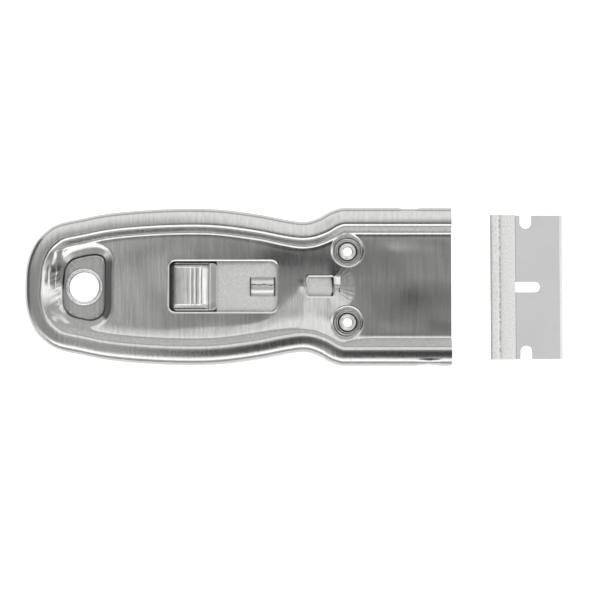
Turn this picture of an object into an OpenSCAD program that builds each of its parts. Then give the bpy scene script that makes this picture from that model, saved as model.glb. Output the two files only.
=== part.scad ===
// Pocket razor blade scraper: two pressed shells joined by tubular eyelets, a thumb slide that
// carries a single-edge blade, and the blade itself lying ready in front of the open mouth.
// Lengths are millimetres. X runs from the tail to the blade, Y across, Z up through the thickness.

/* [Handle outline] */
// Length of the handle from its tail to the cut front end
body_l = 112.2; // [105:0.1:125]
// Greatest width, at the belly
belly_w = 41.2; // [40:0.1:46]
// Distance of the belly from the tail
belly_x = 43.3; // [40:0.1:48]
// Least width, at the neck
neck_w = 34.2; // [33:0.1:38]
// Distance of the neck from the tail
neck_x = 73.7; // [71:0.1:76]
// Distance from the tail at which the flare behind the front is full
flare_x = 83.6; // [81:0.1:87]
// Width of the straight front part
front_w = 41.6; // [41.4:0.1:46]

/* [Sheet and rim] */
// Thickness of the pressed sheet
sheet_t = 0.7; // [0.5:0.05:0.9]
// Clear height between the two flat panels
panel_gap = 3.4; // [3.4:0.1:4.4]
// Height of the rim above the flat panel
rim_rise = 2.4; // [2:0.1:3]
// Distance from the outer edge to the inner end of the rim's crest
crest_d = 4.1; // [3.8:0.1:4.4]
// Angle of the rim's inner slope
slope_angle = 47; // [42:1:60]
// Radius of the rounding between crest and slope
crest_r = 1; // [0.5:0.1:1.4]
// Radius of the hollow rounding between slope and panel
foot_r = 2.3; // [1.2:0.1:2.6]
// Radius of the rounded outer edge
edge_r = 1.9; // [1.2:0.1:2.2]
// Drop of the rim's shoulder from its crest to the rounded edge
shoulder_drop = 0.3; // [0.1:0.05:0.6]
// Width of the flat land along the crest
crest_land = 0.5; // [0.3:0.1:0.8]

/* [Tail well and hang hole] */
// Distance of the hang hole from the tail
hang_x = 15.3; // [14.6:0.1:16]
// Radius of the hang hole
hang_r = 3.97; // [3:0.01:4.2]
// Wall of the rolled collar that lines the hang hole
collar_wall = 0.4; // [0.3:0.05:0.5]
// Reach of the collar's rolled lip past its wall
collar_lip = 0.55; // [0.3:0.05:0.7]
// Thickness of the collar's rolled lip
collar_lip_t = 0.4; // [0.2:0.05:0.6]
// Distance of the well floor's rear edge from the tail
well_rear_x = 9.8; // [9.2:0.1:10.2]
// Distance of the well floor's front edge from the tail
well_front_x = 20.9; // [20.4:0.1:22]
// Width of the well floor at its rear edge
well_rear_w = 14; // [13:0.1:15]
// Width of the well floor at its front edge
well_front_w = 18; // [16:0.1:19]
// Radius of the well floor's rear corners
well_rear_r = 3; // [2:0.1:4]
// Radius of the well floor's front corners
well_front_r = 2; // [1:0.1:3]
// Run of the sloping wall round the sides and rear of the well
well_side_run = 2.4; // [1.8:0.1:2.6]
// Run of the steeper wall at the front of the well
well_front_run = 1.6; // [1.2:0.1:2]

/* [Windows in the upper panel] */
// Distance of the thumb window's rear edge from the tail
window_x = 37.8; // [36:0.1:39]
// Length of the thumb window
window_l = 28.6; // [28:0.1:29.6]
// Width of the thumb window
window_w = 13.4; // [12:0.1:14]
// Corner radius of the thumb window
window_r = 1.7; // [0.8:0.1:2.5]
// Distance of the catch window's rear edge from the tail
catch_x = 74.3; // [73.6:0.1:74.8]
// Length of the catch window
catch_l = 6.9; // [6.5:0.1:7.2]
// Width of the catch window
catch_w = 5.2; // [4.6:0.1:5.6]
// Corner radius of the catch window
catch_r = 0.5; // [0.3:0.1:1]
// Radius of the shallow round dish pressed in front of the catch window
dish_r = 4.2; // [3:0.1:4.6]
// Depth of that dish
dish_depth = 0.2; // [0.1:0.05:0.3]
// How far the dish's round edge reaches back past the catch window's front edge
dish_lap = 1.9; // [0.3:0.1:2.4]

/* [Neck eyelets] */
// Distance of the two neck eyelets from the tail
eyelet_x = 84.9; // [84.4:0.1:86]
// Distance between the two neck eyelets
eyelet_pitch = 18.75; // [18.6:0.05:20]
// Radius of the hole through an eyelet
eyelet_r = 1.29; // [0.8:0.01:1.5]
// Wall of an eyelet
eyelet_wall = 0.35; // [0.25:0.05:0.45]
// Reach of an eyelet's rolled lip past its wall
eyelet_lip = 0.6; // [0.3:0.05:0.7]
// Thickness of an eyelet's rolled lip
eyelet_lip_t = 0.3; // [0.2:0.05:0.4]
// Radius of the flat floor of the dimple round an eyelet
dimple_floor_r = 2.8; // [2.5:0.1:3]
// Radius of the dimple's mouth in the panel
dimple_r = 4.2; // [3.8:0.1:4.4]

/* [Thumb slide] */
// Thickness of the slide plate
plate_t = 0.5; // [0.4:0.05:0.6]
// Play between the slide plate and the panel above it
plate_play = 0.45; // [0.35:0.05:0.5]
// Distance of the slide plate's rear end from the tail, drawn back
plate_rear_x = 24.6; // [23.8:0.1:28]
// Width of the slide plate under the thumb window
plate_w = 17; // [16:0.1:18]
// Width of the slide plate's front tongue
tongue_w = 8.4; // [7:0.1:9]
// Gap between the tongue's tip and the catch window's front edge
tip_gap = 0.5; // [0.2:0.1:1]
// Length of the detent arch
arch_l = 6.7; // [5:0.1:6.7]
// Width of the detent arch
arch_w = 5; // [4:0.1:5]
// How far the detent arch stands up into its window past the panel's underside
latch_h = 0.65; // [0.4:0.05:0.7]
// Gap between the detent arch and the thumb window's front edge, drawn back
arch_gap = 0.55; // [0.3:0.05:0.8]

/* [Thumb button] */
// Length of the thumb button
button_l = 12.1; // [11:0.1:12.4]
// Gap between the button and the thumb window all round
button_gap = 0.35; // [0.3:0.05:0.6]
// Gap between the button and the rear edge of the thumb window, drawn back
button_rear_gap = 0.65; // [0.4:0.05:0.8]
// Height of the button above the slide plate, without its ribs
button_h = 3; // [2.2:0.1:3.4]
// Wall of the button
button_wall = 0.5; // [0.4:0.05:0.7]
// Number of ribs across the button
rib_count = 5; // [3:1:6]
// Radius of a rib
rib_r = 0.35; // [0.2:0.05:0.45]

/* [Blade carrier] */
// Thickness of the blade carrier
carrier_t = 0.5; // [0.4:0.05:0.5]
// Width of the carrier's tongue between the neck eyelets
carrier_tongue_w = 9; // [6:0.1:9.4]
// Distance of the carrier's rear end from the tail, drawn back
carrier_rear_x = 33; // [30:0.1:35]
// Width of the carrier's head behind the blade
head_w = 27; // [24:0.5:32]
// Depth of the shelf under the blade's spine
shelf_l = 4.6; // [3:0.1:6]
// Width of each hook over the blade's spine
hook_w = 4; // [3:0.1:5]
// Reach of each hook over the blade's spine
hook_l = 2.6; // [1.5:0.1:4]
// Distance between the centres of the two hooks
hook_pitch = 18; // [16:0.5:22]
// Play between the spine and the shelf or the hooks
grip_play = 0.1; // [0.05:0.01:0.15]
// Thickness of the leaf spring under the slide plate
spring_t = 0.25; // [0.15:0.05:0.3]
// Width of the leaf spring
spring_w = 5; // [3:0.1:6]
// Length of the leaf spring's bow
spring_l = 13; // [10:0.1:15]

/* [Blade] */
// Length of the blade's edge
blade_w = 38.1; // [36:0.1:38.1]
// Depth of the blade from the back of its spine to the edge
blade_d = 19.1; // [18:0.1:20]
// Thickness of the blade's steel
blade_t = 0.23; // [0.2:0.01:0.3]
// Depth of the ground bevel
bevel_d = 0.65; // [0.4:0.05:1.2]
// Depth of the spine
spine_d = 6.6; // [6:0.1:7]
// Thickness of the spine
spine_t = 1.4; // [1.2:0.05:1.4]
// How far each end of the spine stands past the steel
spine_over = 0.2; // [0.1:0.05:0.4]
// Length of the slot in the middle of the blade
slot_l = 6.5; // [5:0.1:7]
// Width of that slot
slot_w = 2.75; // [2:0.05:3.2]
// Width of the notch in each end of the blade
notch_w = 3; // [2:0.1:3.4]
// Depth of the notch in each end of the blade
notch_d = 3.5; // [2.5:0.1:4]
// Distance of the end notches from the spine
notch_gap = 1.3; // [0.8:0.1:2]
// Gap between the handle's mouth and the blade laid in front of it
blade_gap = 10.5; // [8:0.1:20]

/* [Fits] */
// Play round pieces that fit into a hole or slot
fit_play = 0.03; // [0.02:0.01:0.05]
// Running clearance between pieces that slide past each other
run_play = 0.2; // [0.1:0.05:0.2]

/* [Hidden] */

$fn = 64;
// Overrun of every cut past the face it opens
over = 1;
// Depth of a thin slice that shapes a hull
slice = 0.01;

// Points of the outline, as shares of the belly's distance and of its half width
tail_share = [[0, 0], [0.0105, 0.295], [0.058, 0.553], [0.132, 0.718], [0.206, 0.806],
              [0.328, 0.864], [0.51, 0.937], [0.755, 0.983], [1, 1]];
// Points from belly to neck, as shares of the way along and of the drop in width
neck_share = [[0.286, 0.086], [0.609, 0.46], [0.845, 0.857], [1, 1]];
// Points from neck to front, as shares of the way along and of the rise in width
flare_share = [[0.357, 0.27], [0.673, 0.74], [1, 1]];
// Steps of the curve between two points of the outline
curve_steps = 2;
// Angles of the points round the rim's outer edge
edge_angles = [150, 125, 98];
// Points round the crest's and the foot's rounding, as shares of the slope's angle
crest_turn_share = [0.35, 0.7, 1];
foot_turn_share = [1, 0.6, 0.25, 0];

panel_in = panel_gap / 2;
panel_out = panel_in + sheet_t;
crest_h = panel_out + rim_rise;
side_h = crest_h - shoulder_drop - edge_r;
// Run and rise of the rim's slope between its two roundings, and the width of the whole rim
slope_rise = rim_rise - (crest_r + foot_r) * (1 - cos(slope_angle));
slope_run = slope_rise / tan(slope_angle);
rim_band = crest_d + (crest_r + foot_r) * sin(slope_angle) + slope_run;
// Depth from the panel's face down to the floors of the well and the dimples
sink = panel_out - sheet_t;

window_front = window_x + window_l;
arch_x = window_front - arch_gap - arch_l / 2;
arch_h = plate_play + latch_h;
travel = catch_x + catch_l / 2 - arch_x;

plate_top = panel_in - plate_play;
plate_bottom = plate_top - plate_t;
tip_x = catch_x + catch_l - tip_gap;
button_rear_x = window_x + button_rear_gap;
button_w = window_w - 2 * button_gap;

shelf_top = -spine_t / 2 - grip_play;
shelf_bottom = shelf_top - carrier_t;
// Run of the dimple's wall for each unit of height, and its radii on the sheet's underside
dimple_lean = (dimple_r - dimple_floor_r) / sink;
dimple_back_r = dimple_floor_r + under_shift(dimple_r - dimple_floor_r);
dimple_top_r = dimple_back_r + dimple_lean * panel_in;
head_x = eyelet_x + dimple_top_r + run_play;
seat_x = head_x + carrier_t + grip_play;
blade_x = body_l + blade_gap;
overall_l = blade_x + blade_d;

function unit(v) = v / norm(v);

// How far a wall's underside lies outside its floor's edge, for a wall of this run
function under_shift(run) = sheet_t * tan(atan(sink / run) / 2);

// Point of a smooth curve through b and c, with a before and d after them
function curve_point(a, b, c, d, t) =
    b + t * (c - a) / 2
    + t * t * (2 * a - 5 * b + 4 * c - d) / 2
    + t * t * t * (3 * b - a - 3 * c + d) / 2;

// Key points of the outline's left half, from the tail to the end of the flare
half_points = concat(
    [for (p = tail_share) [p.x * belly_x, p.y * belly_w / 2]],
    [for (p = neck_share) [belly_x + p.x * (neck_x - belly_x),
                           belly_w / 2 - p.y * (belly_w - neck_w) / 2]],
    [for (p = flare_share) [neck_x + p.x * (flare_x - neck_x),
                            neck_w / 2 + p.y * (front_w - neck_w) / 2]]);
last_key = len(half_points) - 1;
// The same points with one more before the tail and one more past the flare, for the curve's ends
key_points = concat(
    [[half_points[1].x, -half_points[1].y]],
    half_points,
    [[2 * flare_x - half_points[last_key - 1].x, front_w / 2]]);
half_path = concat(
    [for (i = [1:last_key], s = [0:curve_steps - 1])
        curve_point(key_points[i - 1], key_points[i], key_points[i + 1], key_points[i + 2],
                    s / curve_steps)],
    [half_points[last_key], [body_l, front_w / 2]]);
half_end = len(half_path) - 1;
// The whole outline, from the front's left corner round the tail to its right corner
path = concat(
    [for (i = [half_end:-1:0]) half_path[i]],
    [for (i = [1:half_end]) [half_path[i].x, -half_path[i].y]]);
path_end = len(path) - 1;

// Direction of the outline's stretch from point i to the next
function stretch(i) =
    let (from = max(0, min(i, path_end - 1)))
    unit(path[from + 1] - path[from]);

// Direction pointing inwards from the outline, halfway between those of the stretches beside point i
function inward(i) =
    let (along = unit(stretch(i - 1) + stretch(i)))
    [-along.y, along.x];

// Outer surface of the rim, as distances in from the outline and heights above the seam
profile = concat(
    [[0, 0], [0, side_h]],
    [for (a = edge_angles) [edge_r + edge_r * cos(a), side_h + edge_r * sin(a)]],
    [[crest_d - crest_land, crest_h], [crest_d, crest_h]],
    [for (t = crest_turn_share)
        [crest_d + crest_r * sin(t * slope_angle), crest_h - crest_r * (1 - cos(t * slope_angle))]],
    [for (t = foot_turn_share)
        [rim_band - foot_r * sin(t * slope_angle), panel_out + foot_r * (1 - cos(t * slope_angle))]],
    [[rim_band + sheet_t, panel_out]]);

// Unit normal of the profile's stretch from a to b, towards its inner side
function inner_normal(a, b) = let (u = unit(b - a)) [u.y, -u.x];

row_size = len(profile) - 1;
rows = [0:row_size - 1];
// The profile moved in by the sheet's thickness
under_profile = [for (j = rows)
    let (before = inner_normal(profile[max(j - 1, 0)], profile[max(j, 1)]),
         after = inner_normal(profile[j], profile[j + 1]))
    profile[j] + sheet_t * (before + after) / (1 + before * after)];

// A profile point stood on the outline at point i
function rim_point(i, q) =
    let (n = inward(i))
    [path[i].x + n.x * q.x, path[i].y + n.y * q.x, q.y];

// Numbers of the points on the sheet's outer face and on its underside
function out_i(i, j) = i * row_size + j;
function in_i(i, j) = (path_end + 1) * row_size + out_i(i, j);

// Two triangles over four corners
function quad(a, b, c, d) = [[a, b, c], [a, c, d]];

// The pressed sheet of the upper shell before anything is cut in it, open at the front
module shell_blank() {
    foot = row_size - 1;
    skins = [for (i = [0:path_end - 1], j = [0:foot - 1]) each concat(
        quad(out_i(i, j), out_i(i, j + 1), out_i(i + 1, j + 1), out_i(i + 1, j)),
        quad(in_i(i, j), in_i(i + 1, j), in_i(i + 1, j + 1), in_i(i, j + 1)))];
    seam = [for (i = [0:path_end - 1]) each
        quad(out_i(i, 0), out_i(i + 1, 0), in_i(i + 1, 0), in_i(i, 0))];
    panels = [for (i = [0:half_end - 1]) each concat(
        quad(out_i(i, foot), out_i(path_end - i, foot),
             out_i(path_end - i - 1, foot), out_i(i + 1, foot)),
        quad(in_i(i, foot), in_i(i + 1, foot),
             in_i(path_end - i - 1, foot), in_i(path_end - i, foot)))];
    rim_ends = [for (j = [0:foot - 1]) each concat(
        quad(out_i(0, j), in_i(0, j), in_i(0, j + 1), out_i(0, j + 1)),
        quad(out_i(path_end, j), out_i(path_end, j + 1), in_i(path_end, j + 1),
             in_i(path_end, j)))];
    panel_end = quad(out_i(0, foot), in_i(0, foot), in_i(path_end, foot), out_i(path_end, foot));
    polyhedron(
        points = concat(
            [for (i = [0:path_end], j = rows) rim_point(i, profile[j])],
            [for (i = [0:path_end], q = under_profile) rim_point(i, q)]),
        faces = [for (f = concat(skins, seam, panels, rim_ends, panel_end))
                 if (f[0] != f[1] && f[1] != f[2] && f[2] != f[0]) f]);
}

// Four rounded corners of the well in a thin slice, grown at its sides and at its front
module well_slice(side, front, z) {
    for (m = [-1, 1]) {
        translate([well_rear_x + well_rear_r, m * (well_rear_w / 2 - well_rear_r), z])
            cylinder(r = well_rear_r + side, h = slice, $fn = 32);
        translate([well_front_x - well_front_r + front - side,
                   m * (well_front_w / 2 - well_front_r), z])
            cylinder(r = well_front_r + side, h = slice, $fn = 32);
    }
}

// The space of the well between two heights, its floor grown at the sides and at the front
module well_form(low, high, side, front) {
    climb = (high - low) / sink;
    hull() {
        well_slice(side, front, low);
        well_slice(side + well_side_run * climb, front + well_front_run * climb, high - slice);
    }
}

// A cone-shaped dimple between two heights, with its floor's radius
module dimple(low, floor_r, high) {
    translate([0, 0, low])
        cylinder(r1 = floor_r, r2 = floor_r + dimple_lean * (high - low), h = high - low);
}

// A rectangle with round corners, its rear edge at x and its middle on the centre line
module window_cut(x, l, w, r) {
    translate([x, 0, 0]) {
        translate([r, -w / 2, -over]) cube([l - 2 * r, w, crest_h + 2 * over]);
        translate([0, r - w / 2, -over]) cube([l, w - 2 * r, crest_h + 2 * over]);
        for (cx = [r, l - r], cy = [r - w / 2, w / 2 - r])
            translate([cx, cy, -over]) cylinder(r = r, h = crest_h + 2 * over);
    }
}

// A half shell with its well, dimples and holes, lying above the seam
module half_shell() {
    block_h = panel_out - sheet_t / 2;
    cut_h = panel_out + rim_rise / 4;
    difference() {
        union() {
            shell_blank();
            well_form(0, block_h, under_shift(well_side_run), under_shift(well_front_run));
            for (m = [-1, 1]) translate([eyelet_x, m * eyelet_pitch / 2, 0])
                dimple(0, dimple_back_r, block_h);
        }
        well_form(sheet_t, cut_h, 0, 0);
        translate([hang_x, 0, -over])
            cylinder(r = hang_r + collar_wall + fit_play, h = crest_h + 2 * over);
        for (m = [-1, 1]) translate([eyelet_x, m * eyelet_pitch / 2, 0]) {
            dimple(sheet_t, dimple_floor_r, cut_h);
            translate([0, 0, -over])
                cylinder(r = eyelet_r + eyelet_wall + fit_play, h = crest_h + 2 * over);
        }
    }
}

// Moves the parts from tail and seam to the middle of the whole and the surface below it
module stand() {
    translate([-overall_l / 2, 0, crest_h]) children();
}

module upper_shell() {
    dish_ball_r = (dish_r * dish_r + dish_depth * dish_depth) / (2 * dish_depth);
    color("silver") stand() difference() {
        half_shell();
        window_cut(window_x, window_l, window_w, window_r);
        window_cut(catch_x, catch_l, catch_w, catch_r);
        translate([catch_x + catch_l + dish_r - dish_lap, 0,
                   panel_out + dish_ball_r - dish_depth])
            sphere(r = dish_ball_r, $fn = 200);
    }
}

module lower_shell() {
    color("silver") stand() mirror([0, 0, 1]) half_shell();
}

// A tube rolled over both faces of the two sheets it holds together
module rolled_eyelet(bore_r, wall, lip, lip_t) {
    barrel_r = bore_r + wall;
    rotate_extrude() difference() {
        union() {
            translate([bore_r, -sheet_t - lip_t]) square([wall, 2 * (sheet_t + lip_t)]);
            for (m = [-1, 1]) translate([bore_r + lip_t / 2, m * (sheet_t + lip_t / 2)]) {
                translate([0, -lip_t / 2]) square([wall + lip - lip_t, lip_t]);
                translate([wall + lip - lip_t, 0]) circle(r = lip_t / 2, $fn = 24);
            }
        }
        translate([0, -sheet_t - lip_t - over]) square([bore_r, 2 * (sheet_t + lip_t + over)]);
        translate([barrel_r, -sheet_t]) square([lip + over, 2 * sheet_t]);
    }
}

module hang_hole_collar() {
    color("gainsboro") stand() translate([hang_x, 0, 0])
        rolled_eyelet(hang_r, collar_wall, collar_lip, collar_lip_t);
}

module neck_eyelet(side) {
    color("gainsboro") stand() translate([eyelet_x, side * eyelet_pitch / 2, 0])
        rolled_eyelet(eyelet_r, eyelet_wall, eyelet_lip, eyelet_lip_t);
}

module left_neck_eyelet() { neck_eyelet(1); }

module right_neck_eyelet() { neck_eyelet(-1); }

// Corner radius of the slide plate and the place of the ears that push it along
plate_corner_r = tongue_w / 4;
ear_l = button_l / 4;
ear_x = button_rear_x + button_l / 2;
ear_y = (window_w / 2 + plate_w / 2) / 2;

// Flat outline of the slide plate: wide under the window, hollowed to clear the neck dimples when
// it is pushed forward, then a tongue with a round tip
module slide_outline() {
    shoulder_x = window_front + arch_gap;
    clear_r = dimple_back_r + dimple_lean * plate_top + run_play;
    tip_r = tongue_w / 2 + arch_gap;
    difference() {
        union() {
            hull() for (x = [plate_rear_x + plate_corner_r, shoulder_x - plate_corner_r],
                        m = [-1, 1])
                translate([x, m * (plate_w / 2 - plate_corner_r)]) circle(r = plate_corner_r);
            intersection() {
                translate([shoulder_x - plate_corner_r, -tongue_w / 2])
                    square([tip_x - shoulder_x + plate_corner_r, tongue_w]);
                union() {
                    translate([tip_x - tip_r, 0]) circle(r = tip_r);
                    translate([shoulder_x - plate_corner_r, -tongue_w / 2])
                        square([tip_x - tip_r - shoulder_x + plate_corner_r, tongue_w]);
                }
            }
        }
        for (m = [-1, 1])
            translate([eyelet_x - travel, m * eyelet_pitch / 2]) circle(r = clear_r);
        for (m = [-1, 1])
            translate([ear_x - ear_l / 2 - grip_play,
                       m * (ear_y + plate_w / 2) - plate_w / 2 - grip_play])
                square([ear_l + 2 * grip_play, plate_w + 2 * grip_play]);
        translate([arch_x - arch_l / 2, -arch_w / 2]) square([arch_l, arch_w]);
    }
}

module slide_plate() {
    color("lightgray") stand() translate([0, 0, plate_bottom])
        linear_extrude(plate_t) slide_outline();
}

// The bridge lanced up out of the slide plate
module detent_arch() {
    top_r = (arch_w * arch_w / 4 + arch_h * arch_h) / (2 * arch_h);
    color("lightgray") stand() translate([arch_x - arch_l / 2, 0, plate_bottom])
        rotate([90, 0, 90]) linear_extrude(arch_l) intersection() {
            translate([-arch_w / 2, 0]) square([arch_w, plate_t + arch_h]);
            translate([0, plate_t + arch_h - top_r]) difference() {
                circle(r = top_r);
                circle(r = top_r - plate_t);
            }
        }
}

// Places on the button's top, as shares of its length and width
button_top_start_share = 0.28;
button_top_end_share = 0.81;
button_top_w_share = 0.69;

// The button's hump, drawn in by a wall on every side but its foot
module button_hump(wall) {
    top_l = (button_top_end_share - button_top_start_share) * button_l;
    corner_r = window_r - button_gap;
    hull() {
        for (x = [corner_r, button_l - corner_r], m = [-1, 1])
            translate([x, m * (button_w / 2 - corner_r), -min(wall, slice)])
                cylinder(r = corner_r - wall, h = button_wall, $fn = 32);
        translate([button_top_start_share * button_l + wall / 2,
                   wall / 2 - button_top_w_share * button_w / 2, button_h - wall - slice])
            cube([top_l - wall, button_top_w_share * button_w - wall, slice]);
    }
}

module thumb_button() {
    top_l = (button_top_end_share - button_top_start_share) * button_l;
    rib_step = (top_l - 2 * rib_r) / (rib_count - 1);
    color("whitesmoke") stand() translate([button_rear_x, 0, plate_top]) {
        difference() {
            button_hump(0);
            button_hump(button_wall);
        }
        for (i = [0:rib_count - 1])
            translate([button_top_start_share * button_l + rib_r + i * rib_step,
                       button_top_w_share * button_w / 2 - rib_r, button_h])
                rotate([90, 0, 0]) difference() {
                    cylinder(r = rib_r, h = button_top_w_share * button_w - 2 * rib_r);
                    translate([-rib_r - over, -rib_r - over, -over])
                        cube([2 * (rib_r + over), rib_r + over - slice,
                              button_top_w_share * button_w + 2 * over]);
                }
    }
}

// The strip that runs from under the button to the blade, with a shelf and two hooks for the
// spine and an ear at each side that pushes the slide plate along
module blade_carrier() {
    hook_top = spine_t / 2 + grip_play + carrier_t;
    color("darkgray") stand() {
        translate([carrier_rear_x, -carrier_tongue_w / 2, shelf_bottom])
            cube([head_x - carrier_rear_x + carrier_t, carrier_tongue_w, carrier_t]);
        translate([head_x, -head_w / 2, shelf_bottom])
            cube([carrier_t + shelf_l, head_w, carrier_t]);
        for (m = [-1, 1]) {
            translate([head_x, m * hook_pitch / 2 - hook_w / 2, shelf_bottom])
                cube([carrier_t, hook_w, hook_top - shelf_bottom]);
            translate([head_x, m * hook_pitch / 2 - hook_w / 2, hook_top - carrier_t])
                cube([carrier_t + hook_l, hook_w, carrier_t]);
        }
        translate([ear_x - ear_l / 2, -ear_y - carrier_t, shelf_bottom])
            cube([ear_l, 2 * (ear_y + carrier_t), carrier_t]);
        for (m = [-1, 1])
            translate([ear_x - ear_l / 2, m * (ear_y + carrier_t / 2) - carrier_t / 2,
                       shelf_bottom])
                cube([ear_l, carrier_t, plate_top - shelf_bottom]);
    }
}

// A bowed leaf that stands on the carrier and lifts the slide plate
module press_spring() {
    rise = plate_bottom - shelf_top - fit_play;
    bow_r = (spring_l * spring_l / 4 + rise * rise) / (2 * rise);
    color("dimgray") stand() translate([ear_x, spring_w / 2, shelf_top])
        rotate([90, 0, 0]) linear_extrude(spring_w) intersection() {
            translate([-spring_l / 2, 0]) square([spring_l, rise]);
            translate([0, rise - bow_r]) difference() {
                circle(r = bow_r, $fn = 200);
                circle(r = bow_r - spring_t, $fn = 200);
            }
        }
}

// Flat outline of the steel, with its slot, end notches and cut corners
module steel_outline() {
    slot_x = spine_d;
    notch_x = spine_d + notch_gap + notch_w / 2;
    difference() {
        translate([0, -blade_w / 2]) square([blade_d, blade_w]);
        translate([slot_x, -slot_w / 2]) square([slot_l - slot_w / 2, slot_w]);
        translate([slot_x + slot_l - slot_w / 2, 0]) circle(d = slot_w);
        for (m = [-1, 1]) translate([notch_x, m * (blade_w / 2 - notch_d + notch_w / 2)]) {
            circle(d = notch_w);
            translate([-notch_w / 2, m * (notch_d + over) / 2 - (notch_d + over) / 2])
                square([notch_w, notch_d + over]);
        }
    }
}

module blade_steel() {
    steel_back = spine_t / 2;
    land = blade_t / 10;
    color("silver") stand() translate([blade_x, 0, 0]) intersection() {
        translate([0, 0, -blade_t / 2]) linear_extrude(blade_t) steel_outline();
        translate([0, blade_w / 2, 0]) rotate([90, 0, 0]) linear_extrude(blade_w) polygon([
            [steel_back, -blade_t / 2], [blade_d - bevel_d, -blade_t / 2],
            [blade_d, -land / 2], [blade_d, land / 2],
            [blade_d - bevel_d, blade_t / 2], [steel_back, blade_t / 2]]);
    }
}

// The folded strip that stiffens the blade's back
module blade_spine() {
    color("gainsboro") stand() translate([blade_x, blade_w / 2 + spine_over, 0])
        rotate([90, 0, 0]) linear_extrude(blade_w + 2 * spine_over) difference() {
            union() {
                translate([spine_t / 2, 0]) circle(d = spine_t);
                translate([spine_t / 2, -spine_t / 2]) square([spine_d - spine_t / 2, spine_t]);
            }
            translate([spine_t / 2 - fit_play, -blade_t / 2 - fit_play])
                square([spine_d + over, blade_t + 2 * fit_play]);
        }
}

upper_shell();
lower_shell();
hang_hole_collar();
left_neck_eyelet();
right_neck_eyelet();
slide_plate();
detent_arch();
thumb_button();
blade_carrier();
press_spring();
blade_steel();
blade_spine();
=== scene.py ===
"""Looks of the pocket razor blade scraper: bright pressed shells, rolled eyelets, thumb slide and blade."""

import math
from contextlib import contextmanager

import bpy
import numpy as np
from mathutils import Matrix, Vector
from mathutils.geometry import delaunay_2d_cdt


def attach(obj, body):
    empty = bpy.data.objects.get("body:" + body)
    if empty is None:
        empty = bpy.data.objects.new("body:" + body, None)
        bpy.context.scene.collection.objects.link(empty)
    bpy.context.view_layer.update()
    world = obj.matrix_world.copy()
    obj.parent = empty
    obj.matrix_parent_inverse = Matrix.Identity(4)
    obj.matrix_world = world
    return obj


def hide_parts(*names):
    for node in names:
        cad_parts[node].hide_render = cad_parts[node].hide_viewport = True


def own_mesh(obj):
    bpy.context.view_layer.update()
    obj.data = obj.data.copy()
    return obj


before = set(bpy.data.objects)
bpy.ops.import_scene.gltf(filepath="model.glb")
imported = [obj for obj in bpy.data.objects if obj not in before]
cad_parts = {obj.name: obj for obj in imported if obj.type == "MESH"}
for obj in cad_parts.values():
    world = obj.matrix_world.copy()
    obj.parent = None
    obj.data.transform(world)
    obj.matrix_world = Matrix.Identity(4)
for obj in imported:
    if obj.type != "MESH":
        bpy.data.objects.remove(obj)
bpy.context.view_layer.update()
for piece in bpy.context.selected_objects:
    piece.select_set(False)

MM = 0.001

# All lengths are in the handle's millimetres: X from the tail, Z from the seam between the shells.
# Outline, with widths and the places along the handle at which they stand
WHOLE_L, HANDLE_L = 141.8, 112.2
BELLY_W, BELLY_X = 41.2, 43.3
NECK_W, NECK_X = 34.2, 73.7
FRONT_W, FLARE_X = 41.6, 83.6
OUTLINE_STEP = 0.7

# Pressed shells: sheet, panel, the rim's crest and radii, the slopes down to the panel and their easing
SHEET_T = 0.7
PANEL_Z = 2.4
CREST_Z, CREST_D = 4.8, 4.1
EDGE_R, CREST_R = 1.9, 1.7
SHOULDER = math.radians(12.5)
SLOPE, MOUTH_SLOPE, RIGHT_SLOPE = math.radians(46.2), math.radians(42.6), math.radians(41)
EASE_D, EASE_R, MOUTH_EASE_D, MOUTH_EASE_R, EASE_END = 10.2, 15, 8.0, 7, 6.0
SKIRT_D = 3.2
FLOOR_Z = SHEET_T
CRIMP = 0.4

# Windows: rear edge, length, width and corner radius; the width and fall of their turned-down edges
WINDOW = (37.8, 28.6, 13.4, 1.7)
CATCH = (74.3, 6.9, 5.2, 0.5)
CATCH_END = CATCH[0] + CATCH[1]
WINDOW_BEND_W, CATCH_BEND_W, EDGE_BEND = 0.42, 0.34, 0.31
DENT_X, DENT_R, DENT_DEPTH = 79.8, 7.5, 0.34

# Eyelets: place, bore, reach of the rolled lip, its height; the dimples that they sit in
HANG_X, HANG_R, HANG_LIP_R = 15.3, 3.97, 4.92
EYELET_X, EYELET_Y, EYELET_R, EYELET_LIP_R = 84.9, 9.375, 1.29, 2.24
LIP_H = 0.3
DIMPLE_R, DIMPLE_RISE = 2.75, 1.62

# Thumb slide, its way forward and the clearance and least sheet over it
PLATE_Z = (0.75, 1.25)
PLATE_REAR, PLATE_FRONT, PLATE_TIP = 24.6, 66.95, 80.85
PLATE_HALF, TONGUE_HALF = 8.5, 4.2
TRAVEL = 15.25
SLIDE_GAP, THIN_T = 0.04, 0.2
BUTTON_X, BUTTON_L, BUTTON_W = 38.45, 12.1, 12.7
FLANGE_H, CAP_T, CAP_EDGE_R = 0.7, 0.5, 0.3
ARCH_X, ARCH_L, ARCH_W, ARCH_T, ARCH_RISE = 59.15, 6.7, 5.0, 0.45, 1.1

# Blade: back, depth, length, thickness; the two facets of its edge; slot, notches and spine
BLADE_X, BLADE_D, BLADE_W, BLADE_T = 122.7, 19.1, 38.1, 0.23
GRIND, HONE, HONE_HALF, EDGE_HALF = 1.0, 0.72, 0.107, 0.012
SPINE_D, SPINE_R = 6.6, 0.7
SLOT_L, SLOT_R, SLOT_CORNER_R = 6.5, 1.375, 0.4
NOTCH_X, NOTCH_R, NOTCH_D = BLADE_X + 9.4, 1.5, 3.5


def at(x, y, z):
    """A place given in the handle's millimetres, in the row frame in metres."""
    return Vector(((x - WHOLE_L / 2) * MM, y * MM, (z + CREST_Z) * MM))


# Curves and loops


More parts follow.
